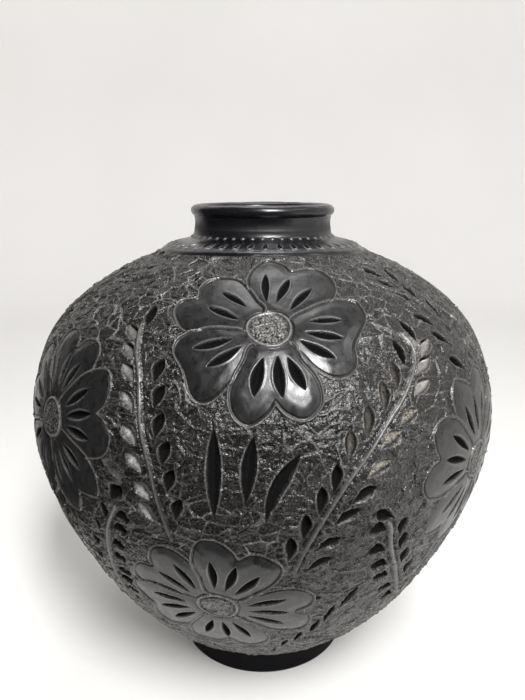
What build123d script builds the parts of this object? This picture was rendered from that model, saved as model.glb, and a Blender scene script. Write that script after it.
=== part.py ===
from build123d import *
import os

# A round, hand-built vessel of black clay that stands in a separate clay ring.
# Every piece is a ring about the vertical axis, so each is drawn as half a section,
# (radius, height), and turned about Z. The origin is on the floor, under the mouth.
# Millimetres.

# ---- driving dimensions --------------------------------------------------------------
TOTAL_HEIGHT = 255.0
WALL = 6.0                      # thickness of the clay, measured square to the wall

# round bottom, pressed in a saucer mould
BOTTOM_CLEARANCE = 3.0          # the bottom hangs this far above the floor
BOTTOM_SPHERE = 99.5            # radius of its outside
BOTTOM_EDGE_ANGLE = 44.3        # degrees from straight down to the edge of the moulded part

# coil-built wall, outside: (radius, height)
WALL_LOW = (99.7, 72.0)
WALL_MID = (117.4, 112.5)
WALL_WIDEST = (123.4, 151.0)
WALL_HIGH = (110.4, 193.3)
WALL_TOP = (54.8, 232.8)
WALL_TOP_SLOPE = 28.0           # degrees, how steeply the shoulder meets the collar
WALL_PIECES = {                 # where each luted piece ends, as a share of the wall's length
    "lower_wall": 0.21,
    "flank_wall": 0.42,
    "belly_wall": 0.6,
    "shoulder_wall": 0.75,
    "upper_shoulder": 1.0,
}
SECTION_STEPS = 6               # points that carry the wall's inside along one piece

# collar, neck and rolled rim
COLLAR_STEP = 0.7               # the collar stands proud of the carved shoulder
COLLAR_MID = (43.6, 237.2)
NECK_FOOT = (36.4, 242.8)
NECK_TOP = (36.6, 249.6)
NECK_WAIST_RADIUS = 36.0
NECK_INSIDE = 30.2
RIM_RADIUS = 38.0
RIM_CREST_RADIUS = 34.4
RIM_INSIDE = 30.7
RIM_FULL_HEIGHT = 252.2         # height at which the rolled rim is widest

# stand ring
STAND_HEIGHT = 14.0
STAND_FLOOR_RADIUS = 49.0
STAND_TOP_RADIUS = 47.6
STAND_INSIDE = 38.0
STAND_EDGE = 1.2                # rounding of its corners
SEAT_GAP = 0.3                  # between the stand's seat and the round bottom

BOTTOM_CENTRE = (0, BOTTOM_CLEARANCE + BOTTOM_SPHERE)


def turned(outline):
    """The solid swept by a closed half section, a list of edges, about the vertical axis."""
    return revolve(Plane.XZ * make_face(outline), Axis.Z)


def inward(edge, share):
    """The point on the inside of the wall across from a share of an outside edge."""
    along = edge % share
    return edge @ share + Vector(-along.Y, along.X) * WALL


def inside_of(edge):
    """The inside of the wall: a curve one thickness in from an outside edge."""
    points = [inward(edge, step / SECTION_STEPS) for step in range(SECTION_STEPS + 1)]
    return Spline(points, tangents=[edge % 0, edge % 1])


def wall_ring(edge):
    """A ring of wall between two luted joints, each square to the wall."""
    inside = inside_of(edge)
    return turned([edge, inside, Line(edge @ 0, inside @ 0), Line(edge @ 1, inside @ 1)])


def bottom_arc(radius):
    """Half section of the round bottom, from the axis to the edge of the moulded part."""
    return CenterArc(BOTTOM_CENTRE, radius, -90, BOTTOM_EDGE_ANGLE)


def make_base_bowl():
    outside = bottom_arc(BOTTOM_SPHERE)
    inside = bottom_arc(BOTTOM_SPHERE - WALL)
    return turned([outside, inside, Line(outside @ 0, inside @ 0), Line(outside @ 1, inside @ 1)])


def wall_outside():
    """Half section of the whole coil-built wall, from the moulded bottom to the collar."""
    start = bottom_arc(BOTTOM_SPHERE) @ 1
    start_slope = bottom_arc(BOTTOM_SPHERE) % 1
    end_slope = Vector(-1, 0).rotate(Axis.Z, -WALL_TOP_SLOPE)
    points = [start, WALL_LOW, WALL_MID, WALL_WIDEST, WALL_HIGH, WALL_TOP]
    return Spline(points, tangents=[start_slope, end_slope])


def make_collar(shoulder):
    """The burnished flare between the shoulder and the neck, with its small raised edge."""
    joint_out = shoulder @ 1
    joint_in = inward(shoulder, 1)
    edge_top = joint_out + (joint_out - joint_in).normalized() * COLLAR_STEP
    flare = Spline([edge_top, COLLAR_MID, NECK_FOOT], tangents=[shoulder % 1, (0, 1)])
    inside = Spline([joint_in, (NECK_INSIDE, NECK_FOOT[1])], tangents=[shoulder % 1, (0, 1)])
    foot_joint = Line(flare @ 1, inside @ 1)
    return turned([Line(joint_in, joint_out), Line(joint_out, edge_top), flare, foot_joint, inside])


def make_neck():
    waist = (NECK_WAIST_RADIUS, (NECK_FOOT[1] + NECK_TOP[1]) / 2)
    outside = ThreePointArc(NECK_FOOT, waist, NECK_TOP)
    inside = Line((NECK_INSIDE, NECK_FOOT[1]), (NECK_INSIDE, NECK_TOP[1]))
    return turned([outside, inside, Line(outside @ 0, inside @ 0), Line(outside @ 1, inside @ 1)])


def make_rim_coil():
    """A coil of clay rolled over the neck: round above, tucked in below."""
    crest = (RIM_CREST_RADIUS, RIM_FULL_HEIGHT)
    crown = TOTAL_HEIGHT - RIM_FULL_HEIGHT
    outer = EllipticalCenterArc(crest, RIM_RADIUS - RIM_CREST_RADIUS, crown, 0, arc_size=90)
    inner = EllipticalCenterArc(crest, RIM_CREST_RADIUS - RIM_INSIDE, crown, 90, arc_size=90)
    tuck_out = Spline([outer @ 0, NECK_TOP], tangents=[(0, -1), (-1, -0.6)])
    tuck_in = Line(inner @ 1, (NECK_INSIDE, NECK_TOP[1]))
    return turned([outer, inner, tuck_in, Line(tuck_in @ 1, NECK_TOP), tuck_out])


def make_stand_ring():
    """The loose ring that the round bottom sits in, hollowed on top to match it."""
    ring = turned(
        Polyline(
            (STAND_INSIDE, 0),
            (STAND_FLOOR_RADIUS, 0),
            (STAND_TOP_RADIUS, STAND_HEIGHT),
            (STAND_INSIDE, STAND_HEIGHT),
            close=True,
        )
    )
    ring = fillet(ring.edges().filter_by(GeomType.CIRCLE), STAND_EDGE)
    seat = Pos(0, 0, BOTTOM_CENTRE[1]) * Sphere(BOTTOM_SPHERE + SEAT_GAP)
    return ring - seat


nodes = {"stand_ring": make_stand_ring(), "base_bowl": make_base_bowl()}

wall = wall_outside()
piece_start = 0
for piece_name, piece_end in WALL_PIECES.items():
    edge = wall.trim(piece_start, piece_end)
    nodes[piece_name] = wall_ring(edge)
    piece_start = piece_end

nodes["collar"] = make_collar(edge)
nodes["neck"] = make_neck()
nodes["rim_coil"] = make_rim_coil()

os.makedirs("parts", exist_ok=True)
for name, shape in nodes.items():
    shape.label = name
    export_step(shape, f"parts/{name}.step")
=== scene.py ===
import itertools
import math

import bpy
import numpy as np
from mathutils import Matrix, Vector


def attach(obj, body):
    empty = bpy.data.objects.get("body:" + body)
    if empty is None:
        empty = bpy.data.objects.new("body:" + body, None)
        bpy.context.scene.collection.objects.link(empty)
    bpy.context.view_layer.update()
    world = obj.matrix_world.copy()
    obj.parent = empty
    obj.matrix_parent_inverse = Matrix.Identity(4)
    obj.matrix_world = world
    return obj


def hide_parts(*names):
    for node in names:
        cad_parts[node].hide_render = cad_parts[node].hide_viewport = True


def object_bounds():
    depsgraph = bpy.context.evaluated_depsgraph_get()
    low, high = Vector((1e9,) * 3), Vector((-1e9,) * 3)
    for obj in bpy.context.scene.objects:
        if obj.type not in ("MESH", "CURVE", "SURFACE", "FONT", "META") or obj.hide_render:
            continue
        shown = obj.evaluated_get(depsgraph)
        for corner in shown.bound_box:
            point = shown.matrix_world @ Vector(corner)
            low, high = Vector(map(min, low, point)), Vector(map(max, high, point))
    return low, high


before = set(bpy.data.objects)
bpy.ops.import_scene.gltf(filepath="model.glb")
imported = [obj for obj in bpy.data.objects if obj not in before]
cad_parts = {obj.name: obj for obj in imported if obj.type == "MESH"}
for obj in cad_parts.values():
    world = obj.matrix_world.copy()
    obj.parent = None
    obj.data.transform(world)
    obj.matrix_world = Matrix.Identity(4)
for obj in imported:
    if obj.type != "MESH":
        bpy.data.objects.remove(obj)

# A black clay pot, carved all round and part burnished, standing in a loose clay ring.
# The outside is one line, read from the half sections of the CAD pieces, turned about Z.
# A relief moves it along its normal: flowers, leaf scoops, stems, gouges, and a scraped
# and wrinkled ground between them. Relief is in millimetres. A place on the pot is
# (angle, height): degrees round from the front, plus to the right, and millimetres
# above the floor. Functions that take s want millimetres along the line instead, from
# the middle of the bottom.

cad_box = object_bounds()
MM = 0.001
SEED = 2024

CARVED_NODES = ("base_bowl", "lower_wall", "flank_wall", "belly_wall", "shoulder_wall", "upper_shoulder")
POT_NODES = CARVED_NODES + ("collar", "neck", "rim_coil")

COLUMNS = 1536    # steps round the pot
FRONT_FOCUS = 0.4                   # 0 spaces the columns evenly, more crowds the front
ROW_STEP = 0.45   # mm, on the carved wall
COLLAR_ROW_STEP = 0.3
PLAIN_ROW_STEP = 2.0                # mm, on the bottom, which the stand hides
INSIDE_ROW_STEP = 4.0
SHORT_ROW_STEP = 0.8                # mm, inside a piece shorter than SHORT_PIECE
SHORT_PIECE = 12.0
FIRST_ROW = 1.0                     # mm from the middle of the bottom, round a small cap
INSIDE_HALVINGS = 3                 # the inside has 2 ** 3 times fewer columns
CARVED_FROM = 52.0                  # mm along the line, where the stand stops hiding it

# ---- the outside line ----


def seam_points(node):
    """The corners (radius, height), in mm, of a CAD piece's half section, where y is 0."""
    spots = set()
    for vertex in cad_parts[node].data.vertices:
        x, y, z = vertex.co
        if abs(y) < 1e-6 and x > -1e-6:
            spots.add((round(max(x, 0.0) / MM, 3), round(z / MM, 3)))
    return spots


SAME_SPOT = 0.05        # mm, nearer corners than this are one corner


def walk(spots):
    """The spots in order from the middle of the bottom, up the outside, over the rim and
    down the inside. The next one is always the nearest ahead, so no joint is followed."""
    left = np.array(sorted(spots))
    here = left[np.lexsort((left[:, 1], left[:, 0]))[0]]
    heading = np.array([1.0, 0.0])
    found = [here]
    while True:
        step = left - here
        far = np.hypot(*step.T)
        ahead = (step @ heading > 0.5 * far) & (far > SAME_SPOT)
        if not ahead.any():
            return np.array(found)
        best = np.argmin(np.where(ahead, far, np.inf))
        heading = step[best] / far[best]
        here = left[best]
        left = np.delete(left, best, axis=0)
        found.append(here)


def spline_through(at, values):
    """A natural cubic spline, as a function of where along at, and its slope."""
    gap = np.diff(at)[:, None]
    rise = np.diff(values, axis=0) / gap
    count = len(at)
    system = np.eye(count)
    right = np.zeros_like(values)
    for i in range(1, count - 1):
        system[i, i - 1 : i + 2] = gap[i - 1, 0], 2 * (gap[i - 1, 0] + gap[i, 0]), gap[i, 0]
        right[i] = 6 * (rise[i] - rise[i - 1])
    bend = np.linalg.solve(system, right)

    def value(where, slope=False):
        where = np.asarray(where, float)
        i = np.clip(np.searchsorted(at, where) - 1, 0, count - 2)
        h = gap[i]
        a = (at[i + 1] - where)[..., None]
        b = (where - at[i])[..., None]
        low = values[i] / h - bend[i] * h / 6
        high = values[i + 1] / h - bend[i + 1] * h / 6
        if slope:
            return (bend[i + 1] * b**2 - bend[i] * a**2) / (2 * h) - low + high
        return (bend[i] * a**3 + bend[i + 1] * b**3) / (6 * h) + low * a + high * b

    return value


seams = {node: seam_points(node) for node in POT_NODES}
line = walk(set().union(*seams.values()))
along = np.r_[0, np.cumsum(np.hypot(*np.diff(line, axis=0).T))]
profile = spline_through(along, line)
CREST = int(np.argmax(line[:, 1]))


def last_owned(node, keep):
    """How far along the line the last corner of a piece lies, of those that keep allows."""
    corners = np.array(sorted(seams[node]))
    gaps = [np.hypot(*(corners - spot).T).min() for spot in line]
    return along[max(i for i, gap in enumerate(gaps) if gap < SAME_SPOT and keep(i))]


outer_ends = [last_owned(node, lambda i: i <= CREST) for node in POT_NODES]
inner_ends = [last_owned(node, lambda i: i > CREST) for node in POT_NODES]
outer_spans = dict(zip(POT_NODES, zip([0.0] + outer_ends[:-1], outer_ends)))
inner_spans = dict(zip(POT_NODES, zip(inner_ends[1:] + [along[CREST]], inner_ends)))
WALL_END = outer_spans["upper_shoulder"][1]

# ---- the grid ----


def steps(start, end, step):
    return np.linspace(start, end, max(2, round((end - start) / step) + 1))


def make_rows():
    """Where the rows lie along the line, outside, and each piece's first and last row."""
    rows = [FIRST_ROW]
    pieces = {}
    for node in POT_NODES:
        start, end = outer_spans[node]
        first = len(rows) - 1
        fine = ROW_STEP if end <= WALL_END else COLLAR_ROW_STEP
        if start < CARVED_FROM:
            rows.extend(steps(rows[-1], CARVED_FROM, PLAIN_ROW_STEP)[1:])
            start = CARVED_FROM
        rows.extend(steps(start, end, fine)[1:])
        pieces[node] = (first, len(rows) - 1)
    return np.array(rows), pieces


def outward_at(s):
    """The way out of the clay at places along the line, as (radius, height)."""
    slope = profile(s, slope=True)
    slope /= np.hypot(*slope.T)[:, None]
    return np.stack([slope[:, 1], -slope[:, 0]], axis=1)


row_s, row_range = make_rows()
share = np.arange(COLUMNS) / COLUMNS - 0.5
column_angle = 2 * math.pi * share - FRONT_FOCUS * np.sin(2 * math.pi * share)
row_place = profile(row_s)
row_r = row_place[:, 0]
row_z = row_place[:, 1]
row_out = outward_at(row_s)

MARKS = ("burnish", "pit", "dust", "stipple", "wear_and_painted_highlight")
SHAPE = (len(row_s), COLUMNS)
relief = np.zeros(SHAPE)        # mm, outward
burnish = np.zeros(SHAPE)       # 1 where the clay is rubbed, or cut smooth
pit = np.zeros(SHAPE)           # 1 inside a cut: raw clay, near black and dull, which is also painted shade in the recesses
dust = np.zeros(SHAPE)          # 1 where pale dust fills a scoop
stipple = np.zeros(SHAPE)       # 1 on the pricked middle of a flower
wear_and_painted_highlight = np.zeros(SHAPE)          # 1 where the clay is painted paler: wear on raised edges, and painted highlight on them and on some leaf slopes


def s_at(height):
    """How far along the line the outside reaches a height in mm."""
    return float(np.interp(height, row_z, row_s))


def radius_at(s):
    return float(np.interp(s, row_s, row_r))


def around(angle, s, reach):
    """The rows and columns within reach mm of a place, and how far right and up they lie."""
    rows = np.flatnonzero(abs(row_s - s) < reach)
    turn = (column_angle - math.radians(angle) + math.pi) % (2 * math.pi) - math.pi
    columns = np.flatnonzero(abs(turn) * row_r[rows].min() < reach)
    u = row_r[rows][:, None] * turn[columns][None, :]
    v = np.broadcast_to((row_s[rows] - s)[:, None], u.shape)
    return np.ix_(rows, columns), u, v


def smooth(low, high, value):
    """0 at low, 1 at high, and an even S between them."""
    t = np.clip((value - low) / (high - low), 0, 1)
    return t * t * (3 - 2 * t)


def hump(gap, width):
    """1 where gap is 0, and next to nothing from two widths away."""
    return np.exp(-((gap / width) ** 2))


def turn_points(radius, height, angles):
    """Rows of points (x, y, z) in mm, from rows of radii and heights."""
    radius = radius + 0 * angles
    return np.stack([radius * np.sin(angles), -radius * np.cos(angles), height + 0 * radius], axis=-1)


# ---- noise ----


def scramble(place, seed):
    """A random number from 0 to 1 for each whole-number place (..., 3). The large odd
    numbers only mix up the bits."""
    h = place[..., 0] * 374761393 + place[..., 1] * 668265263 + place[..., 2] * 2147483647
    h = h + seed * 974634777
    h = (h ^ (h >> 13)) * 1274126177
    h = h ^ (h >> 16)
    return (h & 0xFFFFFF) / float(0xFFFFFF)


def noise(points, cell, seed):
    """Soft noise from -1 to 1 at points (..., 3), with features about cell mm across."""
    p = points / cell
    base = np.floor(p).astype(np.int64)
    f = p - base
    f = f * f * (3 - 2 * f)
    total = 0.0
    for corner in itertools.product((0, 1), repeat=3):
        wx, wy, wz = (f[..., k] if corner[k] else 1 - f[..., k] for k in range(3))
        total = total + wx * wy * wz * scramble(base + corner, seed)
    return 2 * total - 1


def creases(points, cell, seed, width):
    """1 along thin wandering lines, where soft noise passes through zero."""
    value = noise(points, cell, seed) + 0.35 * noise(points, cell * 0.45, seed + 1)
    return hump(value, width)


def crumple(points, cell, seed):
    """Plates about cell mm across. Returns how far, in mm, each point is from the border
    of its plate, and its height, in mm, if each plate is tilted its own way."""
    p = points / cell
    base = np.floor(p).astype(np.int64)
    first = np.full(p.shape[:-1], np.inf)
    second = first.copy()
    tilt = np.zeros_like(first)
    for beside in itertools.product((-1, 0, 1), repeat=3):
        place = base + beside
        drawn = (scramble(place, seed) * 0xFFFFFF).astype(np.int64)
        jitter = np.stack([drawn & 255, drawn >> 8 & 255, drawn >> 16], axis=-1) / 255
        away = p - place - jitter
        gap = (away**2).sum(axis=-1)
        tilt = np.where(gap < first, (away * (jitter - 0.5)).sum(axis=-1), tilt)
        second = np.minimum(second, np.maximum(first, gap))
        first = np.minimum(first, gap)
    return (np.sqrt(second) - np.sqrt(first)) * cell, tilt * cell


# ---- curves ----


def curve(knots, closed=False, per_span=8):
    """A smooth line through knots (Catmull-Rom). A knot given twice is a sharp corner."""
    k = np.array(knots, float)
    k = np.vstack([k[-1], k, k[0], k[1]]) if closed else np.vstack([k[0], k, k[-1]])
    t = (np.arange(per_span) / per_span)[:, None]
    made = []
    for a, b, c, d in zip(k, k[1:], k[2:], k[3:]):
        if np.hypot(*(c - b)[:2]) < 1e-9:
            continue
        pull_in = (c - a) / 2 if np.any(a != b) else (c - b) / 2
        pull_out = (d - b) / 2 if np.any(d != c) else (c - b) / 2
        h00 = 2 * t**3 - 3 * t**2 + 1
        h10 = t**3 - 2 * t**2 + t
        h01 = -2 * t**3 + 3 * t**2
        h11 = t**3 - t**2
        made.append(h00 * b + h10 * pull_in + h01 * c + h11 * pull_out)
    if not closed:
        made.append(k[-1][None])
    return np.vstack(made)


def nearest(u, v, path, closed=False):
    """Distance in mm to a line, and how far along it, from 0 to 1, the nearest spot is."""
    start = path if closed else path[:-1]
    end = np.roll(path, -1, axis=0) if closed else path[1:]
    best = np.full(u.shape, np.inf)
    where = np.zeros(u.shape)
    for i, (a, b) in enumerate(zip(start, end)):
        along_u, along_v = b - a
        length2 = along_u**2 + along_v**2 + 1e-12
        t = np.clip(((u - a[0]) * along_u + (v - a[1]) * along_v) / length2, 0, 1)
        gap = (u - a[0] - t * along_u) ** 2 + (v - a[1] - t * along_v) ** 2
        closer = gap < best
        best = np.where(closer, gap, best)
        where = np.where(closer, (i + t) / len(start), where)
    return np.sqrt(best), where


def inside(u, v, path):
    """True inside a closed line."""
    crossed = np.zeros(u.shape, bool)
    for a, b in zip(path, np.roll(path, -1, axis=0)):
        if a[1] == b[1]:
            continue
        spans = (a[1] > v) != (b[1] > v)
        crossed ^= spans & (u < a[0] + (v - a[1]) / (b[1] - a[1]) * (b[0] - a[0]))
    return crossed


# ---- the carver's marks ----


def raise_to(mark, spot, least):
    """Bring a mark up to at least so much, and leave it where it is already more."""
    mark[spot] = np.maximum(mark[spot], least)


LIP_HEIGHT = 0.16       # mm, clay thrown up along a cut
LIP_WIDTH = 0.35
LIP_WEAR_AND_HIGHLIGHT = 2.6          # how pale it is painted, for each mm of its height: wear, and a painted highlight
STONE_CROWN = (0.15, 0.45, 5.0)     # a petal stands so proud, rises so much more, over so many mm
BURR = (0.75, 0.75, 0.29)           # mm high, out from a petal's edge, and wide
INCISED = (0.5, 0.1, 0.3)           # mm deep, in from a petal's edge, and wide
DISC_SIZE = 9.3                     # mm, radius of a flower's middle
FLOWER_SIZE = 42.0                  # mm, out to the ends of its petals
LEAF_LEAN = 0.45
LEAF_BOW = 0.6                      # mm
LEAF_OFF_STEM = 7.0                 # mm


def gouge(angle, s, start, end, width, depth, lean=0.0, bow=0.0, fullest=0.5, rough=True,
          dusty=0.0, painted_sheen=0.0):
    """An almond-shaped cut from start to end, both (right, up) in mm from a place. lean
    moves its deepest line towards its left (-1) or right (1) edge, bow bends it, and
    fullest is where along it the cut is widest. A rough cut has a torn bottom. The last
    argument is a painted highlight: how much paler its wider slope is painted."""
    start = np.array(start, float)
    end = np.array(end, float)
    middle = (start + end) / 2
    run = end - start
    length = np.hypot(*run)
    run /= length
    spot, u, v = around(angle, s, np.abs(np.vstack([start, end])).max() + width + 2)
    u = u - middle[0]
    v = v - middle[1]
    t = (u * run[0] + v * run[1]) / length + 0.5
    side = u * run[1] - v * run[0] - bow * (1 - (2 * t - 1) ** 2)
    t = np.clip(t, 0, 1)
    swell = np.sin(math.pi * t ** (math.log(0.5) / math.log(fullest))) ** 0.8
    half = np.maximum(width / 2 * swell, 1e-3)
    w = side / half
    core = np.where(w > lean, (1 - w) / (1 - lean), (1 + w) / (1 + lean))
    ends = (t > 0) & (t < 1)
    core = np.where(ends, np.clip(core, 0, 1), 0)
    cut = depth * swell ** 0.8 * np.minimum(1.0, core * 1.25) ** 0.85
    past_edge = (abs(w) - 1) * half
    lip = LIP_HEIGHT * hump(past_edge - LIP_WIDTH, LIP_WIDTH) * (past_edge > 0) * swell * ends
    relief[spot] += lip - cut
    # the lip is painted paler: wear, and a painted highlight along it
    wear_and_painted_highlight[spot] = np.maximum(wear_and_painted_highlight[spot] * (w * w > 1), LIP_WEAR_AND_HIGHLIGHT * lip)
    within = smooth(0.0, 0.35, core)
    gentle = smooth(-0.1, 0.35, (lean - w) * np.sign(lean))
    if rough:
        raise_to(pit, spot, within)
    else:
        pit[spot] = pit[spot] * (1 - within) + within * (1 - gentle * painted_sheen)
        raise_to(burnish, spot, within)
    if dusty:
        raise_to(dust, spot, dusty * smooth(0.15, 0.6, core))
    # painted highlight: the wider slope of the cut is painted paler
    if painted_sheen:
        raise_to(wear_and_painted_highlight, spot, painted_sheen * gentle * within)


def bead(angle, s, size, height):
    """A raised dot of clay, painted paler: wear from handling, and a painted highlight."""
    spot, u, v = around(angle, s, 3 * size)
    dome = hump(np.hypot(u, v), size)
    relief[spot] += height * dome
    raise_to(wear_and_painted_highlight, spot, dome)


def petal(angle, s, outline):
    """A petal left proud and rubbed smooth inside an incised outline."""
    spot, u, v = around(angle, s, np.abs(outline).max() + 4)
    edge, _ = nearest(u, v, outline, closed=True)
    within = inside(u, v, outline)
    signed = np.where(within, edge, -edge)
    proud = STONE_CROWN[0] + STONE_CROWN[1] * smooth(0.0, STONE_CROWN[2], signed)
    cover = smooth(-0.25, 0.25, signed)
    relief[spot] = relief[spot] * (1 - cover) + proud * cover
    raise_to(burnish, spot, smooth(-1.3, -0.7, signed))
    pit[spot] *= 1 - cover
    burr = hump(signed + BURR[1], BURR[2]) * (1 - cover)
    relief[spot] += BURR[0] * burr - INCISED[0] * hump(signed - INCISED[1], INCISED[2])
    # the burr is painted paler: wear, and a painted highlight along it
    wear_and_painted_highlight[spot] = np.maximum(wear_and_painted_highlight[spot] * (1 - cover), 0.5 * burr)


def polar(knots):
    return [(r * math.cos(math.radians(a)), r * math.sin(math.radians(a))) for a, r in knots]


def disc(angle, s, size, pricked):
    """A flower's middle: a ring round a button, pricked from 0, hardly, to 1, all over."""
    spot, u, v = around(angle, s, size + 4)
    r = np.hypot(u, v * 1.04) + 0.25 * np.sin(3 * np.arctan2(v, u) + angle)
    button = smooth(size - 0.6, size - 2.2, r)
    relief[spot] = np.where(r < size, 0.55, relief[spot])
    relief[spot] += 0.5 * button * (1 - (r / size) ** 2)
    ring = hump(r - size + 0.4, 0.5)
    cut_inside = hump(r - size + 1.6, 0.4)
    cut_outside = hump(r - size - 0.5, 0.4)
    relief[spot] += 0.35 * ring - 0.7 * cut_inside - 0.55 * cut_outside
    burnish[spot] = np.maximum(burnish[spot] * (r > size), 1 - smooth(size - 1.2, size - 1.8, r))
    burnish[spot] = np.where(r < size + 0.3, 1 - button * 0.8, burnish[spot])
    raise_to(stipple, spot, pricked * button)
    # the ring is painted paler, more where pricked: wear, and a painted highlight
    wear_and_painted_highlight[spot] = np.maximum(wear_and_painted_highlight[spot] * (r > size), (0.4 + 0.5 * pricked) * ring)


# The flower on the front: each petal's outline, as (angle, mm from the middle), degrees
# counterclockwise from the right, then its gouges, as (inner angle, outer angle, inner
# mm, outer mm, width). A knot given twice is the sharp notch between two lobes.
FRONT_PETALS = (
    ([(102, 10), (109, 22), (105, 31), (96, 40), (89, 44), (79, 41), (73, 37), (61, 42), (47, 41),
      (36, 37), (28, 30), (30, 20), (26, 9)],
     [(93, 91, 15, 33, 3.3), (77, 72, 15, 31, 3.7), (48, 50, 13, 30, 3.7)]),
    ([(-173, 11), (-179, 18), (-178, 28), (-177, 35), (176, 39), (169, 41), (160, 40), (151, 34.5),
      (143, 37), (133, 38), (123, 36), (114, 32), (110, 26), (107, 17), (102, 10)],
     [(160, 157, 13, 28, 3.5), (128, 134, 15, 29, 3.4)]),
    ([(-130, 10), (-124, 19), (-124, 30), (-127, 39), (-132, 43), (-138, 43), (-145, 41), (-152, 40),
      (-161, 41), (-168, 39), (-173, 34), (-178, 26), (-179, 18), (-172, 11)],
     [(-143, -144, 14, 31, 3.6), (-161, -161, 15, 33, 3.5)]),
    ([(26, 9), (31, 21), (28, 30), (24, 35), (17, 41), (4, 42), (-7, 38), (-17, 36), (-28, 39),
      (-36, 38), (-43, 33), (-46, 25), (-44, 18), (-36, 10)],
     [(11, 5, 16, 31, 3.0), (-9, -12, 14, 31, 3.5), (-27, -30, 13, 30, 3.9)]),
    ([(-43, 10), (-51, 19), (-52, 29), (-58, 37), (-66, 40), (-73, 40), (-81, 36), (-87, 31),
      (-87, 31), (-93, 36), (-102, 41), (-110, 40), (-116, 36), (-121, 30), (-124, 19), (-130, 10)],
     [(-64, -64, 15, 30, 4.6), (-78, -82, 13, 30, 4.5), (-102, -103, 14, 30, 4.9)]),
)


def plain_petal(middle, half, size, rng):
    """Another flower's petal: two lobes about a notch, and three gouges."""
    shape = [(1, 0.24), (1.02, 0.5), (0.98, 0.75), (0.74, 0.95), (0.44, 1.0), (0.17, 0.93)]

    def lobe(side, places):
        return [(middle + side * half * a * rng.uniform(0.97, 1.03), size * r * rng.uniform(0.97, 1.03))
                for a, r in places]

    near = lobe(1, shape)
    far = lobe(-1, reversed(shape))
    notch = [(middle, size * rng.uniform(0.78, 0.85))]
    cuts = [(middle + offset, middle + offset * 1.1, size / 3, 0.74 * size, 0.088 * size)
            for offset in (-0.52 * half, 0.0, 0.52 * half)]
    return near + notch + far, cuts


def flower(angle, height, petals, disc_size=DISC_SIZE, pricked=0.75):
    """A whole flower. petals are (outline, gouges), as in FRONT_PETALS."""
    s = s_at(height)
    for outline, cuts in petals:
        petal(angle, s, curve(polar(outline), closed=True))
    for number, (outline, cuts) in enumerate(petals):
        for a0, a1, r0, r1, width in cuts:
            start, end = polar([(a0, r0), (a1, r1)])
            bow = 0.5 * math.sin(3.1 * a0 + number)
            gouge(angle, s, start, end, width, 0.62 * width, bow=bow, fullest=0.55)
    disc(angle, s, disc_size, pricked)


def flower_like(angle, height, size, middles):
    """Another flower, with its petals towards middles, in degrees, and its own small draw."""
    rng = np.random.default_rng(SEED + int(angle * 10) + 4000)
    petals = [plain_petal(middle, 35.0, size, rng) for middle in middles]
    flower(angle, height, petals, DISC_SIZE * size / FLOWER_SIZE, 0.35)


def leaf(angle, height, heading, length, width, side, dusty=0.0, painted_sheen=0.0, depth=3.1):
    """One scooped leaf. heading is in degrees counterclockwise from the right. Its stem
    side is cut steep and its outer side slopes up."""
    along_leaf = np.array([math.cos(math.radians(heading)), math.sin(math.radians(heading))])
    half = along_leaf * length * 0.5
    turned = 1 if side == "left" else -1
    gouge(angle, s_at(height), -half, half, width, depth, LEAF_LEAN * turned, LEAF_BOW * turned,
          fullest=0.6, rough=False, dusty=dusty, painted_sheen=painted_sheen)


def stem_line(knots):
    """A stem's route as (angle, mm along the line), smooth through its knots."""
    return curve([(angle, s_at(height)) for angle, height in knots], per_span=12)


def stem(knots, height, width=0.75):
    """A raised, rubbed ridge between two cut lines."""
    route = stem_line(knots)
    middle = route.mean(axis=0)
    radii = np.interp(route[:, 1], row_s, row_r)
    path = np.stack([np.radians(route[:, 0] - middle[0]) * radii, route[:, 1] - middle[1]], axis=1)
    spot, u, v = around(middle[0], middle[1], np.abs(path).max() + 6)
    gap, where = nearest(u, v, path)
    fade = smooth(0.0, 0.06, where) * smooth(1.0, 0.94, where)
    ridge = height * hump(gap, width) * fade
    relief[spot] += ridge - 0.7 * height * hump(gap - 2.2 * width, 0.5) * fade
    # the ridge is painted paler, less towards its lower end: wear, and a painted highlight
    raise_to(wear_and_painted_highlight, spot, 0.7 * ridge * (1 - 0.6 * where))
    rubbed = smooth(1.5 * width, 0.9 * width, gap) * fade
    raise_to(burnish, spot, rubbed)
    pit[spot] *= 1 - rubbed


def heading_at(knots, height):
    """Which way a stem runs, towards its top, at a height, in degrees from the right."""
    route = stem_line(knots)
    i = int(np.clip(np.argmin(abs(route[:, 1] - s_at(height))), 1, len(route) - 2))
    da, ds = route[i - 1] - route[i + 1]
    return math.degrees(math.atan2(ds, math.radians(da) * radius_at(route[i, 1])))


def leaning(knots, height):
    """The heading that a leaf's own turn is added to: a third the stem's there, the rest
    its run from end to end."""
    (a1, z1), (a0, z0) = knots[0], knots[-1]
    rise = s_at(z1) - s_at(z0)
    across = math.radians(a1 - a0) * radius_at(s_at((z0 + z1) / 2))
    return (heading_at(knots, height) + 2 * math.degrees(math.atan2(rise, across))) / 3


def spray(stem_knots, left=(), right=(), tip=None, length=10.5, width=(4.6, 4.6),
          spread=(28, 33), dusty=None, painted_sheen=None, ridge=0.7):
    """A stem, from its top down, with a scooped leaf at each place given. width and spread
    are pairs, for its left and right leaves."""
    stem(stem_knots, ridge)
    for side, places, turn in (("left", left, spread[0]), ("right", right, -spread[1])):
        for number, (angle, height) in enumerate(places):
            heading = leaning(stem_knots, height) + turn
            pale = dusty(side, number) if dusty else 0.0
            # rubbed here is the leaf's painted highlight: how much paler its wider slope is painted
            rubbed = painted_sheen(side, number) if painted_sheen else 0.0
            leaf(angle, height, heading, length, width[side == "right"], side, dusty=pale, painted_sheen=rubbed)
    if tip:
        leaf(*tip, heading_at(stem_knots, tip[1]) - 6, length * 1.15, width[1] * 1.1, "right")


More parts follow.
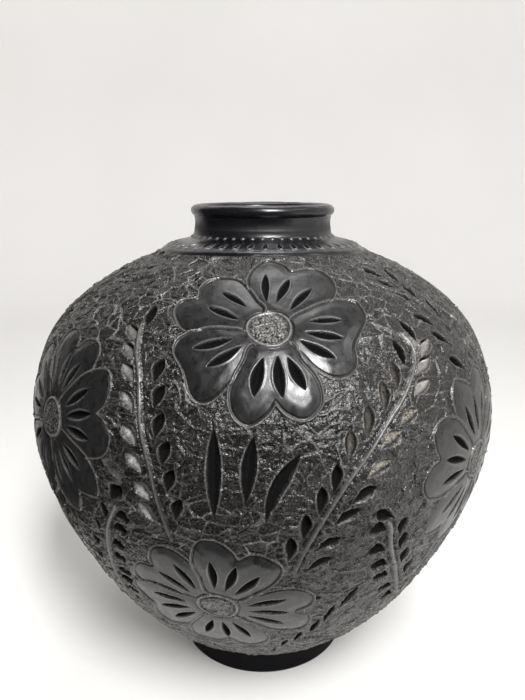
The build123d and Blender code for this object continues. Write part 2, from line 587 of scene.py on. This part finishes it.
def growing_spray(knots, count, length=10.5, width=(4.8, 4.8)):
    """A spray on the side away from the front, with its leaves spaced evenly."""
    route = stem_line(knots)
    left, right = [], []
    for i in range(count):
        a, s = route[int((i + 0.6) / count * (len(route) - 1))]
        z = float(np.interp(s, row_s, row_z))
        off = math.degrees(LEAF_OFF_STEM / radius_at(s))
        left.append((a - off, z + 2))
        right.append((a + off, z - 2))
    top = knots[0]
    spray(knots, left, right, tip=(top[0], top[1] + 5), length=length, width=width)


# ---- the ground ----

grid_points = turn_points(row_r[:, None], row_z[:, None], column_angle[None, :])


def make_ground():
    """The scraped clay between the carvings: dents, wrinkles, scratches and grain. Returns
    its relief in mm, and 1 where its ridges are."""
    bend = np.stack([noise(grid_points, 11, SEED + k) for k in range(3)], axis=-1)
    bent = grid_points + 2.6 * bend
    made = 0.34 * noise(bent, 9, SEED + 10) + 0.18 * noise(bent, 4.2, SEED + 11)    # dents
    patchy = smooth(-0.35, 0.35, noise(grid_points, 24, SEED + 12))
    wide = bent * np.array([1.0, 1.0, 1.5])
    large, large_tilt = crumple(wide, 9.0, SEED + 20)
    small, small_tilt = crumple(wide, 4.2, SEED + 24)
    broken = 0.35 + 0.65 * smooth(-0.3, 0.4, noise(grid_points, 5.0, SEED + 13))
    crumpled = (0.3 + 0.7 * patchy) * broken * hump(large, 0.42)
    crumpled = np.maximum(crumpled, (1 - patchy) * 0.4 * broken * hump(small, 0.33))
    made += 0.6 * crumpled + 0.13 * large_tilt + 0.16 * small_tilt
    made -= 0.55 * creases(bent, 12, SEED + 28, 0.035)
    made += 0.16 * noise(bent * np.array([0.22, 0.22, 1.0]), 1.1, SEED + 40)        # scratches
    made += 0.08 * noise(grid_points, 1.3, SEED + 41) + 0.05 * noise(grid_points, 0.8, SEED + 42)
    return made, crumpled


def make_pit_floor():
    """The torn bottom of a rough cut, in mm."""
    return 0.42 * noise(grid_points, 1.3, SEED + 50) + 0.15 * noise(grid_points, 0.7, SEED + 51)


# ---- the carving ----

flower(1.7, 209.2, FRONT_PETALS)
# the others: place, size, and the way each petal points
OTHER_FLOWERS = (
    (-50.6, 164.4, 42, (85, 17, -52, -124, 160)),
    (-10.4, 88.4, 42, (142, -160, -88, -6, 70)),
    (52.9, 143.1, 42, (93, 21, -51, -123, 163)),
    (101, 200, 39, (70, -2, -74, -146, 142)),
    (112, 108, 42, (95, 23, -49, -121, 167)),
    (158, 165, 42, (80, 8, -64, -136, 152)),
    (-158, 92, 42, (110, 38, -34, -106, 178)),
    (-147, 204, 40, (88, 16, -56, -128, 160)),
    (-104, 150, 42, (75, 3, -69, -141, 147)),
    (-82, 86, 38, (100, 28, -44, -116, 172)),
)
for place in OTHER_FLOWERS:
    flower_like(*place)

# left of the front flower
spray(
    [(-32.5, 209.9), (-29, 199), (-26, 189.9), (-23.7, 172.8), (-21, 156), (-19.7, 143.1), (-17.4, 124)],
    left=[(-33.6, 205.1), (-31.6, 198.7), (-29.4, 191.3), (-27.8, 181), (-26.2, 168.5),
          (-24.7, 158.2), (-23, 146.6), (-22.6, 137.2)],
    right=[(-22, 193.6), (-20.7, 184.6), (-19.9, 174.2), (-18.2, 164), (-17.1, 153.1), (-15.8, 141)],
    tip=(-30.7, 211.2),
    width=(5.2, 5.2),
    # painted highlight on the wider slopes of its left leaves
    painted_sheen=lambda side, n: 0.5 if side == "left" else 0.0,
)
# right of the front flower, with dust in its middle leaves
spray(
    [(35.6, 204), (36.1, 198.7), (34.6, 193.2), (29.3, 182.7), (24.5, 174.4), (19, 161.9),
     (15.5, 153.2), (11.2, 138.2), (8, 123), (6.2, 110.8)],
    left=[(38.2, 204.5), (31.9, 197.9), (28.4, 190.4), (24.6, 184.1), (20.2, 176), (16.1, 167.7),
          (13.2, 155.4), (10.5, 146.5), (7.7, 135.2), (5.1, 124.6)],
    right=[(40.5, 197.6), (37.3, 191.7), (34.6, 184.1), (29.8, 174.2), (24.9, 167), (22, 156.4),
           (19, 146.5), (15.9, 137.7), (12.5, 125), (11.4, 114.8)],
    length=12.5,
    width=(4.8, 5.4),
    spread=(27, 30),
    dusty=lambda side, n: 1.0 if side == "right" and 3 <= n <= 5 else 0.35 * (2 <= n <= 5),
    # painted highlight on the wider slopes of its top three right leaves
    painted_sheen=lambda side, n: 1.0 if side == "right" and n <= 2 else 0.0,
    ridge=1.0,
)
# high on the right shoulder
spray(
    [(51.5, 227), (51.5, 219), (52, 211), (56, 201), (58, 192), (62, 182)],
    left=[(47.3, 225), (47.2, 220.3), (48, 215.1), (47.1, 206.3), (48.4, 198.8), (49.8, 188)],
    right=[(56.8, 222.6), (55.3, 216.6), (58.1, 209.6), (64.4, 200.4), (64.7, 193), (70.2, 184.7)],
    length=12.5,
    ridge=0.15,
)
# low on the left
spray(
    [(-29.6, 137), (-30.4, 134.5), (-33.7, 122.8), (-36.6, 106.2), (-39.8, 84.5), (-41, 70)],
    left=[(-33.8, 131.7), (-37.2, 122.1), (-40.6, 109.7), (-43, 98), (-45, 87)],
    right=[(-28.7, 131.1), (-30.2, 123.8), (-32.1, 113.9), (-33.7, 104.5), (-34.4, 95.2),
           (-35.8, 88.1), (-36.1, 79.5)],
    tip=(-29.3, 142.5),
    length=8.5,
    width=(5.0, 7.0),
    spread=(20, 62),
)
# low on the right
spray(
    [(24.8, 131), (25.8, 128.9), (27.7, 115.6), (33, 95), (40.4, 72.9)],
    left=[(23.1, 127.9), (24.1, 115.8), (26, 105.9), (27.8, 97.3), (31.7, 85.7), (35.2, 75.8)],
    right=[(29.3, 126.6), (30.9, 117.1), (33.2, 106.8), (37, 96.1), (43, 80)],
    tip=(24.3, 135.3),
    length=9.5,
    width=(8.0, 5.8),
    spread=(52, 30),
    ridge=1.0,
)
# high on the left shoulder, and round the back
growing_spray([(-68, 226), (-74, 214), (-77, 200), (-80, 184), (-80, 168)], 6)
growing_spray([(78, 205), (80, 185), (78, 165), (82, 145), (86, 128)], 8)
growing_spray([(128, 218), (132, 200), (130, 182), (133, 160), (136, 138), (140, 118), (142, 100)], 10)
growing_spray([(178, 220), (182, 205), (183, 190), (184, 172), (188, 150), (190, 134)], 8)
growing_spray([(-126, 196), (-124, 178), (-128, 160), (-130, 140), (-128, 120), (-126, 96)], 9)
growing_spray([(74, 118), (76, 104), (78, 90), (82, 76)], 5, 8.5, (5.0, 5.0))
growing_spray([(-56, 118), (-58, 104), (-60, 90), (-62, 76)], 5, 8.5, (5.0, 5.0))
growing_spray([(170, 118), (172, 104), (171, 90), (174, 76)], 5, 8.5, (5.0, 5.0))

# blades of grass under the front flower, and under one at the back
BLADE_WIDTH = 6.0
BLADE_DEPTH = 3.0
BACK_BLADES = -147          # degrees round to the second three
BLADES = (
    ((-9.0, 175.2), (-8.9, 138.7), 0.4),
    ((-1.6, 172.8), (-3.0, 146.2), -0.4),
    ((6.8, 165.9), (0.5, 138.3), -2.2),
)
for turned_by, (top, bottom, bend) in itertools.product((0, BACK_BLADES), BLADES):
    s_top = s_at(top[1])
    s_bottom = s_at(bottom[1])
    middle = (s_top + s_bottom) / 2
    lean_u = math.radians(top[0] - bottom[0]) * radius_at(middle) / 2
    start = (-lean_u, s_bottom - middle)
    end = (lean_u, s_top - middle)
    gouge((top[0] + bottom[0]) / 2 + turned_by, middle, start, end, BLADE_WIDTH, BLADE_DEPTH,
          lean=-0.3, bow=bend, fullest=0.55, rough=False)

# a trail of shrinking punch marks low on the front right
leaf(21, 87.7, 68, 16, 5.4, "right")
PUNCH_DEPTH = 2.4
PUNCH_HALF = np.array([0.2, 1.6])   # right and up, in sizes
PUNCHES = ((17.1, 78.3, 4.6), (14.3, 68.1, 4.2), (10.6, 59.4, 3.8), (7, 52, 3.4), (3.8, 42, 3))
for angle, height, size in PUNCHES:
    gouge(angle, s_at(height), -PUNCH_HALF * size, PUNCH_HALF * size, 1.05 * size, PUNCH_DEPTH)

# ---- the collar ----

COLLAR_DROPS = 44
COLLAR_DOTS = 50
DROP_S = 9.4            # mm up from the collar's edge to the middle of a stroke
DROP_BEAD_S = 5.2
DOT_S = 18.5
edge_s = outer_spans["collar"][0]
spot_rows = row_s > edge_s + 0.2
burnish[spot_rows] = 1.0
pit[spot_rows] = 0.0
relief[spot_rows] = 0.0
for number in range(COLLAR_DROPS):
    at = 360 / COLLAR_DROPS * number + 1.5
    gouge(at, edge_s + DROP_S, (0.6, 4.6), (-0.3, -3.8), 2.1, 1.2, fullest=0.7, rough=False)
    bead(at, edge_s + DROP_BEAD_S, 1.0, 0.6)
for number in range(COLLAR_DOTS):
    bead(360 / COLLAR_DOTS * number, edge_s + DOT_S, 0.65, 0.5)

# ---- put the ground under the carving ----

# soft unevenness of the surface, as (mm high, mm across)
HAND_BUILT = (0.35, 42)
RUBBED = (0.10, 6)
RUBBED_FINE = (0.04, 2.4)
COLLAR_RUBBED = (0.10, 8)
PRICKS = (0.3, 1.3)

RIDGE_WEAR_AND_HIGHLIGHT = 0.6            # how pale the ridges of the ground are painted: wear, and painted highlight on their crests
GROUND_LEFT_IN_CUTS = 0.4   # how much of the ground's relief goes on inside a rough cut
EDGE_ROUNDING = (0.5, 5)    # mm down and mm across, where the collar starts
DULL_FOOT = (0.9, 2.5)      # how dull, and mm across, the stone left the foot of the neck


def soft(amount, seed):
    return amount[0] * noise(grid_points, amount[1], SEED + seed)


carved = smooth(CARVED_FROM - 3, CARVED_FROM + 4, row_s)[:, None]
plain = smooth(edge_s + 0.2, edge_s - 1.0, row_s)[:, None]
bare = (1 - burnish) * plain * carved
ground, crumpled = make_ground()
relief += bare * ground * (1 - (1 - GROUND_LEFT_IN_CUTS) * pit)
# ground ridges painted paler: wear, and painted highlight on their crests
wear_and_painted_highlight = np.maximum(wear_and_painted_highlight, RIDGE_WEAR_AND_HIGHLIGHT * crumpled * bare * (1 - pit))
relief += pit * (1 - 0.7 * burnish) * make_pit_floor()
relief += stipple * soft(PRICKS, 60)
relief += soft(HAND_BUILT, 70)
relief += burnish * (soft(RUBBED, 71) + soft(RUBBED_FINE, 73))
relief += (1 - plain) * soft(COLLAR_RUBBED, 72)
rows_up = row_s[:, None]
relief -= EDGE_ROUNDING[0] * (1 - plain) * hump(rows_up - edge_s, EDGE_ROUNDING[1])
foot_s = outer_spans["neck"][0] + 1.0
burnish -= DULL_FOOT[0] * (1 - plain) * hump(rows_up - foot_s, DULL_FOOT[1])

# ---- meshes ----


def normals_of(points):
    """Each grid point's outward direction, from its neighbours."""
    round_ = np.roll(points, -1, axis=1) - np.roll(points, 1, axis=1)
    up = np.gradient(points, axis=0)
    n = np.cross(round_, up)
    return n / (np.linalg.norm(n, axis=-1, keepdims=True) + 1e-12)


COLLAR_TILT = 0.8       # mm, how far the collar's edge line rises at the front and back
edge_z = float(profile(edge_s)[1])


def lift(angles, height):
    """The hand-made collar isn't quite level."""
    return COLLAR_TILT * np.cos(2 * angles) * hump(height - edge_z, 8)


outer_r = row_r[:, None] + row_out[:, 0:1] * relief
outer_z = row_z[:, None] + row_out[:, 1:2] * relief
outer_z = outer_z + lift(column_angle[None, :], row_z[:, None])
outer_points = turn_points(outer_r, outer_z, column_angle[None, :])
outer_normals = normals_of(outer_points)

BOTTOM_COLUMN_WIDTH = 0.5       # mm, columns nearer than this are thinned out
MOST_HALVINGS = 5


def loops_of(node):
    """A piece's loops of points, in order round its section, with each loop's normals,
    marks and how many grid columns it steps over."""
    first, last = row_range[node]
    loops = [[i, 1] for i in range(first, last + 1)]
    if node == "base_bowl":
        for loop in loops:
            column_width = 2 * math.pi * row_r[loop[0]] / COLUMNS
            halvings = math.log2(max(1.0, BOTTOM_COLUMN_WIDTH / column_width))
            loop[1] = 2 ** int(min(halvings, MOST_HALVINGS))
        for inner, outer in zip(loops[-2::-1], loops[::-1]):
            inner[1] = min(max(inner[1], outer[1]), outer[1] * 2)
    made = []
    for i, step in loops:
        marks = np.stack([burnish[i], pit[i], dust[i], stipple[i], wear_and_painted_highlight[i]], axis=-1)[::step]
        made.append((outer_points[i][::step], outer_normals[i][::step], marks, step))
    return made


FINGER_DEPTH = 0.25         # mm, of the marks left wiping the inside
FINGER_PITCH = 3.1          # mm for each radian of their wave
RIM_BLEND = 12.0            # mm down from the crest before they are at full depth
RUBBED_DOWN = 14.0          # mm down from the crest that the stone reached
WIPED_SHINE = 0.35


def inner_loops(node):
    """The loops of the inside, from the top of the piece down."""
    start, end = inner_spans[node]
    coarse = 2**INSIDE_HALVINGS
    angles = column_angle[None, ::coarse]
    if node == "base_bowl":
        end -= FIRST_ROW
    places = steps(start, end, INSIDE_ROW_STEP if end - start > SHORT_PIECE else SHORT_ROW_STEP)
    spots = profile(places)
    uneven = noise(turn_points(spots[:, :1], spots[:, 1:], angles), 14, SEED + 80)
    wiped = FINGER_DEPTH * np.sin(places / FINGER_PITCH)[:, None] + 0.3 * uneven
    down = places - along[CREST]
    fade = np.minimum(1, np.abs(down) / RIM_BLEND)[:, None]
    out = outward_at(places)
    radius = spots[:, :1] + out[:, :1] * wiped * fade
    height = spots[:, 1:] + out[:, 1:] * wiped * fade + lift(angles, spots[:, 1:])
    points = turn_points(radius, height, angles)
    normals = normals_of(points)
    marks = np.zeros(points.shape[:2] + (len(MARKS),))
    marks[..., MARKS.index("burnish")] = np.where(down < RUBBED_DOWN, 1.0, WIPED_SHINE)[:, None]
    return [(p, n, m, coarse) for p, n, m in zip(points, normals, marks)]


def between(upper, lower, halvings):
    """Loops across a joint face, each with half the columns of the one before."""
    made = []
    for k in range(1, halvings):
        step = upper[3] * 2**k
        share_across = k / halvings
        ratio = lower[3] // step
        following = np.roll(lower[0], -1, axis=0)
        t = (np.arange(ratio) / ratio)[None, :, None]
        b = (lower[0][:, None] * (1 - t) + following[:, None] * t).reshape(-1, 3)
        points = upper[0][:: 2**k] * (1 - share_across) + b * share_across
        made.append((points, upper[1][:: 2**k], upper[2][:: 2**k], step))
    return made


def piece_mesh(name, loops, close_round, cuts):
    """A mesh from loops of points, each joined to the next, and the last to the first. With
    cuts, the faces in the gouges and leaves take the piece's second material."""
    starts = np.r_[0, np.cumsum([len(loop[0]) for loop in loops])]
    points = np.concatenate([loop[0] for loop in loops]) * MM
    normals = np.concatenate([loop[1] for loop in loops])
    marks = np.concatenate([loop[2] for loop in loops])
    corners = []
    sizes = []
    pairs = [(i, i + 1) for i in range(len(loops) - 1)]
    if close_round:
        pairs.append((len(loops) - 1, 0))
    for i, j in pairs:
        a = starts[i] + np.arange(len(loops[i][0]))
        b = starts[j] + np.arange(len(loops[j][0]))
        a_next = np.roll(a, -1)
        b_next = np.roll(b, -1)
        if len(a) == len(b):
            faces = np.stack([a, a_next, b_next, b], axis=1)
        elif len(a) == 2 * len(b):
            faces = np.stack([a[0::2], a[1::2], a_next[1::2], b_next, b], axis=1)
        elif len(b) == 2 * len(a):
            faces = np.stack([a, a_next, b_next[1::2], b[1::2], b[0::2]], axis=1)
        else:
            raise ValueError(f"{name}: loops of {len(a)} and {len(b)}")
        corners.append(faces.ravel())
        sizes.append(np.full(len(faces), faces.shape[1]))
    if not close_round:
        for i, flip in ((0, True), (len(loops) - 1, False)):
            cap = starts[i] + np.arange(len(loops[i][0]))
            corners.append(cap[::-1] if flip else cap)
            sizes.append(np.array([len(cap)]))
    corners = np.concatenate(corners)
    sizes = np.concatenate(sizes)
    mesh = bpy.data.meshes.new(name)
    mesh.vertices.add(len(points))
    mesh.vertices.foreach_set("co", points.ravel())
    mesh.loops.add(len(corners))
    mesh.loops.foreach_set("vertex_index", corners)
    mesh.polygons.add(len(sizes))
    face_starts = np.r_[0, np.cumsum(sizes)[:-1]]
    mesh.polygons.foreach_set("loop_start", face_starts)
    if cuts:
        in_pit = np.add.reduceat(marks[corners, MARKS.index("pit")], face_starts) / sizes > 0.5
        mesh.polygons.foreach_set("material_index", in_pit.astype(np.int32))
    mesh.update(calc_edges=True)
    mesh.validate()
    mesh.normals_split_custom_set_from_vertices(normals)
    for k, mark in enumerate(MARKS):
        layer = mesh.attributes.new(mark, "FLOAT", "POINT")
        layer.data.foreach_set("value", marks[:, k].astype(np.float32))
    return mesh


def new_piece(name, mesh, body, node, materials):
    piece = bpy.data.objects.new(name, mesh)
    bpy.context.collection.objects.link(piece)
    for material in materials:
        mesh.materials.append(material)
    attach(piece, body)
    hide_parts(node)
    return piece


# ---- materials ----


class Nodes:
    """Short calls for the nodes of one material."""

    def __init__(self, name):
        self.material = bpy.data.materials.new(name)
        self.material.use_nodes = True
        self.tree = self.material.node_tree
        self.shader = self.tree.nodes["Principled BSDF"]
        self.place = self.new("ShaderNodeTexCoord").outputs["Object"]

    def new(self, kind, inputs=(), **settings):
        """A node with its settings, and its inputs by name or number."""
        node = self.tree.nodes.new(kind)
        for key, value in settings.items():
            setattr(node, key, value)
        for key, value in dict(inputs).items():
            self.link(value, node.inputs[key])
        return node

    def link(self, source, socket):
        if isinstance(source, (int, float, tuple)):
            socket.default_value = source
        else:
            self.tree.links.new(source, socket)

    def mark(self, name):
        return self.new("ShaderNodeAttribute", attribute_name=name).outputs["Fac"]

    def noise(self, scale, detail=3.0, rough=0.5, stretch=None):
        place = self.place
        if stretch:
            mapping = self.new("ShaderNodeMapping", {"Vector": place, "Scale": stretch})
            place = mapping.outputs["Vector"]
        inputs = {"Vector": place, "Scale": scale, "Detail": detail, "Roughness": rough}
        return self.new("ShaderNodeTexNoise", inputs).outputs["Fac"]

    def math(self, operation, a, b):
        return self.new("ShaderNodeMath", {0: a, 1: b}, operation=operation).outputs[0]

    def times(self, a, b):
        return self.math("MULTIPLY", a, b)

    def plus(self, a, b):
        return self.math("ADD", a, b)

    def ramp(self, value, low, high, out_low=0.0, out_high=1.0):
        inputs = {"Value": value, 1: low, 2: high, 3: out_low, 4: out_high}
        return self.new("ShaderNodeMapRange", inputs, clamp=True).outputs["Result"]

    def mix(self, amount, a, b):
        return self.new("ShaderNodeMix", {"Factor": amount, 6: a, 7: b}, data_type="RGBA").outputs[2]

    def blend(self, amount, a, b):
        return self.new("ShaderNodeMix", {"Factor": amount, 2: a, 3: b}, data_type="FLOAT").outputs[0]

    def bump(self, height, strength, distance):
        inputs = {"Height": height, "Strength": strength, "Distance": distance}
        return self.new("ShaderNodeBump", inputs).outputs["Normal"]

    def finish(self, colour, rough, normal, specular):
        self.link(colour, self.shader.inputs["Base Color"])
        self.link(rough, self.shader.inputs["Roughness"])
        self.link(normal, self.shader.inputs["Normal"])
        self.shader.inputs["Specular IOR Level"].default_value = specular
        return self.material


def carved_clay(name, specular):
    """Fired black clay: graphite grey and torn on the ground, dark and rubbed on the
    petals, stems and leaves. Its pale flecks are grain and painted glints, and its paler
    edges are wear and painted highlight. In the cuts it is raw, near black and shines less:
    raw clay, and painted shade in the recesses."""
    n = Nodes(name)
    rubbed = n.mark("burnish")
    torn = n.mark("pit")
    dusty = n.mark("dust")
    pale = n.mark("wear_and_painted_highlight")
    pricked = n.mark("stipple")
    cloudy = n.noise(38, 4, 0.6)
    grain = n.noise(1150, 2, 0.6)
    fine = n.noise(1900, 1, 0.5)
    brushed = n.noise(420, 3, 0.6, stretch=(1.0, 1.0, 0.16))
    ground = n.mix(n.ramp(cloudy, 0.35, 0.7), (0.002, 0.0019, 0.0018, 1), (0.009, 0.0083, 0.0076, 1))
    # pale flecks: grain of the clay, and painted glints standing for its sparkle
    grain_and_glint_flecks = n.math("MAXIMUM", n.ramp(grain, 0.64, 0.73), n.ramp(fine, 0.66, 0.74))
    ground = n.mix(grain_and_glint_flecks, ground, (0.09, 0.084, 0.078, 1))
    smeared = n.noise(300, 4, 0.7, stretch=(1, 1, 0.35))
    polished = n.mix(n.ramp(smeared, 0.3, 0.7), (0.004, 0.004, 0.0045, 1), (0.015, 0.0145, 0.0145, 1))
    colour = n.mix(rubbed, ground, polished)
    # near-black raw clay in the cuts: partly painted shade in the recesses
    raw_clay = n.mix(n.ramp(grain, 0.6, 0.72), (0.002, 0.002, 0.0022, 1), (0.012, 0.0115, 0.011, 1))
    colour = n.mix(torn, colour, raw_clay)
    colour = n.mix(n.times(pricked, n.ramp(grain, 0.45, 0.62)), colour, (0.19, 0.18, 0.17, 1))
    # the paler marks: wear, and painted highlight on edges and leaf slopes, broken up by the grain
    pale = n.times(pale, n.ramp(grain, 0.35, 0.55, 0.4, 1.0))
    colour = n.mix(pale, colour, (0.24, 0.23, 0.218, 1))
    colour = n.mix(n.times(dusty, n.ramp(grain, 0.3, 0.6)), colour, (0.27, 0.245, 0.205, 1))
    dull = n.ramp(grain, 0.35, 0.65, 0.2, 0.36)
    shiny = n.ramp(smeared, 0.3, 0.7, 0.23, 0.39)
    rough = n.blend(rubbed, dull, shiny)
    rough = n.blend(torn, rough, 0.95)
    rough = n.blend(pale, rough, 0.26)
    rough = n.blend(dusty, rough, 0.85)
    raw = n.plus(n.times(grain, 0.7), n.times(fine, 0.3))
    wiped = n.plus(n.times(brushed, 0.13), n.times(fine, 0.03))
    height = n.blend(rubbed, raw, wiped)
    return n.finish(colour, rough, n.bump(height, 1.0, 0.0005), specular=specular)


def burnished_clay():
    """The collar, neck and rim: black clay rubbed with a stone, in bands round the pot."""
    n = Nodes("burnished_clay")
    cloudy = n.noise(30, 4, 0.6)
    bands = n.noise(260, 3, 0.6, stretch=(0.12, 0.12, 1.0))
    specks = n.noise(1500, 2, 0.6)
    colour = n.mix(n.ramp(cloudy, 0.3, 0.7), (0.0015, 0.0015, 0.0025, 1), (0.005, 0.005, 0.0065, 1))
    # beads and lips on the collar painted paler: wear, and painted highlight
    colour = n.mix(n.mark("wear_and_painted_highlight"), colour, (0.17, 0.163, 0.155, 1))
    rough = n.blend(n.mark("burnish"), 0.55, n.ramp(bands, 0.3, 0.7, 0.22, 0.34))
    height = n.plus(n.times(bands, 0.8), n.times(specks, 0.2))
    return n.finish(colour, rough, n.bump(height, 0.25, 0.0004), specular=0.6)


def stand_clay():
    """The stand ring: plain smooth black clay, wiped round with a wet hand."""
    n = Nodes("stand_clay")
    cloudy = n.noise(45, 4, 0.6)
    wiped = n.noise(300, 3, 0.6, stretch=(0.15, 0.15, 1.0))
    grit = n.noise(1200, 2, 0.6)
    colour = n.mix(n.ramp(cloudy, 0.3, 0.7), (0.002, 0.002, 0.003, 1), (0.004, 0.004, 0.005, 1))
    rough = n.ramp(wiped, 0.3, 0.7, 0.42, 0.56)
    height = n.plus(n.times(wiped, 0.6), n.times(grit, 0.4))
    return n.finish(colour, rough, n.bump(height, 0.35, 0.0004), specular=0.08)


# cut_clay shines much less, so the cuts read dark: raw clay, and partly painted shade
CARVED = (carved_clay("carved_clay", 0.65), carved_clay("cut_clay", 0.15))
BURNISHED = (burnished_clay(),)
STAND = (stand_clay(),)

for node in POT_NODES:
    outer = loops_of(node)
    inner = inner_loops(node)
    top = between(outer[-1], inner[0], INSIDE_HALVINGS)
    loops = outer + top + inner
    if node != "base_bowl":
        bottom = between(outer[0], inner[-1], INSIDE_HALVINGS)
        loops += bottom[::-1]
    is_carved = node in CARVED_NODES
    mesh = piece_mesh(node + "_clay", loops, node != "base_bowl", cuts=is_carved)
    new_piece(node + "_clay", mesh, "pot", node, CARVED if is_carved else BURNISHED)


RING_POINT_STEP = 0.6       # mm round its section
RING_COLUMNS = 480


def stand_ring():
    """The ring's section, read from CAD and softened, turned about Z by a hand's wobble."""
    corners = np.array(sorted(seam_points("stand_ring")))
    middle = corners.mean(axis=0)
    order = np.argsort(np.arctan2(*(corners - middle).T[::-1]))
    ring = corners[order]
    ring = np.vstack([ring, ring[0]])
    run = np.r_[0, np.cumsum(np.hypot(*np.diff(ring, axis=0).T))]
    at = np.arange(0, run[-1], RING_POINT_STEP)
    section = np.stack([np.interp(at, run, ring[:, k]) for k in (0, 1)], axis=1)
    for _ in range(2):
        section = (np.roll(section, 1, axis=0) + 2 * section + np.roll(section, -1, axis=0)) / 4
    angles = np.linspace(-math.pi, math.pi, RING_COLUMNS, endpoint=False)[None, :]
    points = turn_points(section[:, :1], section[:, 1:], angles)
    above = np.clip((section[:, 1:] - section[:, 1].min()) / 4, 0, 1)
    push = 0.25 * noise(points, 16, SEED + 90) + 0.08 * noise(points, 5, SEED + 91)
    points = turn_points(section[:, :1] + push * above, section[:, 1:], angles)
    normals = normals_of(np.concatenate([points[-1:], points, points[:1]]))[1:-1]
    outward = points[..., :2] * np.sign(section[:, :1] - middle[0])[..., None]
    if (normals[..., :2] * outward).sum() < 0:
        normals = -normals
    marks = np.zeros(points.shape[:2] + (len(MARKS),))
    loops = [(p, n, m, 1) for p, n, m in zip(points, normals, marks)]
    return piece_mesh("stand_ring_clay", loops, close_round=True, cuts=False)


new_piece("stand_ring_clay", stand_ring(), "stand", "stand_ring", STAND)

# ---- the stage, camera and lights ----

POT_HEIGHT = cad_box[1][2] - cad_box[0][2]
CAMERA_AWAY = 1.325         # in pot heights, from the pot's axis
CAMERA_UP = 1.042
CAMERA_PITCH = 15.07        # degrees down
CAMERA_LENS = 31.9          # mm
CAMERA_SENSOR = 36          # mm, on its long side
STAGE_STEP = 3              # degrees
SHINE_SIDE = (-45, 147)     # degrees counterclockwise from the right: what the shine shows
FLOOR_NEAR = 0.185          # m, as far as the pot's shine shows the floor on every side
FLOOR_FLAT = 1.0            # m, radius of the flat floor
WALL_CURVE = 0.5            # m, radius of the bend from floor to wall
WALL_TOP = 2.2              # m


def sweep(name, profile_points, start, end, material, in_gloss):
    """Part of the stage: a surface turned about Z from start to end, in degrees. Where
    in_gloss is false the pot's shine doesn't show it, as if it were flagged off."""
    turns = np.radians(np.arange(start, end + 1, STAGE_STEP))
    across = len(turns)
    spots = [(r * math.cos(a), r * math.sin(a), z) for r, z in profile_points for a in turns]
    faces = [(i * across + k, i * across + k + 1, (i + 1) * across + k + 1, (i + 1) * across + k)
             for i in range(len(profile_points) - 1) for k in range(across - 1)]
    mesh = bpy.data.meshes.new(name)
    mesh.from_pydata(spots, [], faces)
    mesh.polygons.foreach_set("use_smooth", [True] * len(mesh.polygons))
    mesh.materials.append(material)
    part = bpy.data.objects.new(name, mesh)
    part.location.z = cad_box[0][2]
    part.visible_glossy = in_gloss
    bpy.context.collection.objects.link(part)


def make_stage():
    """A pale floor that curves up into a wall all round."""
    n = Nodes("backdrop")
    colour = n.mix(n.noise(3, 2, 0.5), (0.72, 0.71, 0.695, 1), (0.77, 0.76, 0.75, 1))
    n.finish(colour, 0.9, n.bump(n.noise(160, 3, 0.6), 0.1, 0.001), specular=0.2)
    wall = [(FLOOR_FLAT + WALL_CURVE * math.sin(a), WALL_CURVE * (1 - math.cos(a)))
            for a in np.linspace(0, math.pi / 2, 16)]
    wall.append((FLOOR_FLAT + WALL_CURVE, WALL_TOP))
    rings = {
        "floor_near": [(0.0001, 0.0), (FLOOR_NEAR, 0.0)],
        "floor": [(FLOOR_NEAR, 0.0), (FLOOR_FLAT, 0.0)],
        "wall": wall,
    }
    start, end = SHINE_SIDE
    for name, ring in rings.items():
        sweep(name + "_lit", ring, start, end, n.material, True)
        sweep(name + "_flagged", ring, end, start + 360, n.material, name == "floor_near")


def area_light(name, azimuth, elevation, away, size, power, at=(0, 0, 0.15), in_gloss=True):
    """A soft oval light, azimuth degrees right of the front, aimed at a spot. Its size is
    its width and height."""
    light = bpy.data.lights.new(name, "AREA")
    light.shape = "ELLIPSE"
    light.size, light.size_y = size
    light.energy = power
    a, e = math.radians(azimuth), math.radians(elevation)
    lamp = bpy.data.objects.new(name, light)
    offset = np.array([math.sin(a) * math.cos(e), -math.cos(a) * math.cos(e), math.sin(e)]) * away
    lamp.location = np.array(at) + offset
    lamp.rotation_euler = Vector(-offset).to_track_quat("-Z", "Y").to_euler()
    lamp.visible_glossy = in_gloss
    bpy.context.collection.objects.link(lamp)


WORLD_STRENGTH = 0.05

make_stage()
area_light("key", 17, 46, 1.2, (0.23, 0.70), 22)
area_light("side", 80, 52, 1.5, (0.35, 0.35), 1.6)
area_light("fill", -20, 28, 1.3, (1.2, 1.2), 2.5, in_gloss=False)
area_light("top", 150, 72, 1.7, (1.2, 1.2), 1.5)
area_light("wall", 0, 70, 1.7, (1.0, 1.0), 10, at=(0, 1.5, 0.5))
world = bpy.data.worlds.new("studio")
world.use_nodes = True
background = world.node_tree.nodes["Background"].inputs
background["Color"].default_value = (1, 1, 1, 1)
background["Strength"].default_value = WORLD_STRENGTH
bpy.context.scene.world = world
bpy.context.scene.view_settings.view_transform = "Standard"

camera = bpy.data.cameras.new("camera")
camera.lens = CAMERA_LENS
camera.sensor_width = CAMERA_SENSOR
camera.clip_start = 0.01
eye = bpy.data.objects.new("camera", camera)
eye.location = (0, -CAMERA_AWAY * POT_HEIGHT, CAMERA_UP * POT_HEIGHT)
eye.rotation_euler = (math.radians(90 - CAMERA_PITCH), 0, 0)
bpy.context.collection.objects.link(eye)
bpy.context.scene.camera = eye
